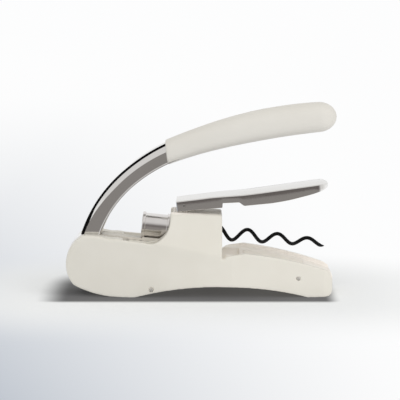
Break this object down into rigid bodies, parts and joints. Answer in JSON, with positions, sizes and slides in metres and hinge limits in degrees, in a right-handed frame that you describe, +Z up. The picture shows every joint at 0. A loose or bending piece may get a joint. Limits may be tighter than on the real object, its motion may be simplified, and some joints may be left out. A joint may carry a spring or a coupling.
{
  "type": "lever corkscrew",
  "caption": "Lever corkscrew lying on its side: curved lever with a gear hub drives a rack, barrel and coiled worm through a guide nut, above a neck cradle with a clamp lever.",
  "frame": {"origin": "middle of the footprint, on the surface that the tool lies on", "axes": "+X from the hinge to the mouth, +Z up, Y across the body"},
  "size_m": [0.1614, 0.044, 0.1145],
  "materials": {
    "enamel": "satin",
    "soft_liner": "matte",
    "soft_grip": "matte",
    "chrome": "polished",
    "steel": "satin",
    "black_coating": "satin",
    "grey_rubber": "matte"
  },
  "bodies": {
    "root": {"near_shell": "enamel", "far_shell": "enamel", "guide_nut": "steel", "axle": "steel", "axle_washers": "steel", "body_pins": "steel", "shell_screws": "steel", "cradle_liner": "soft_liner", "clamp_pin": "steel", "clamp_spring": "steel", "head_buffer": "grey_rubber"},
    "lever": {"lever_arm": "chrome", "drive_gear": "steel", "gear_rivets": "steel", "grip": "soft_grip", "grip_pins": "steel"},
    "carriage": {"rack_bar": "enamel", "drive_head": "chrome", "head_cap": "chrome", "head_screws": "steel", "thrust_washers": "steel"},
    "screw": {"worm": "black_coating", "worm_shank": "steel", "shank_clip": "steel"},
    "clamp": {"clamp_lever": "chrome", "clamp_pad": "grey_rubber", "pad_rivets": "steel"}
  },
  "joints": [
    {"name": "lever_hinge", "type": "hinge", "parent": "root", "child": "lever", "pos_m": [-0.061, 0, 0.0195], "axis": [0, -1, 0], "range_deg": [0, 206]},
    {"name": "carriage_slide", "type": "slide", "parent": "root", "child": "carriage", "axis": [-0.9949, 0, 0.1011], "range_m": [0, 0.0495]},
    {"name": "worm_spin", "type": "hinge", "parent": "carriage", "child": "screw", "pos_m": [-0.02574, 0, 0.04004], "axis": [-0.9949, 0, 0.1011], "range_deg": [0, 990]},
    {"name": "clamp_hinge", "type": "hinge", "parent": "root", "child": "clamp", "pos_m": [-0.0101, 0, 0.0542], "axis": [0, 1, 0], "range_deg": [0, 9.5], "stiffness_Nm_per_rad": 0.12, "springref_deg": -20.05}
  ],
  "couplings": [
    {"joint": "carriage_slide", "follows": "lever_hinge", "m_per_rad": 0.01375},
    {"joint": "worm_spin", "follows": "lever_hinge", "ratio": 4.7997}
  ]
}
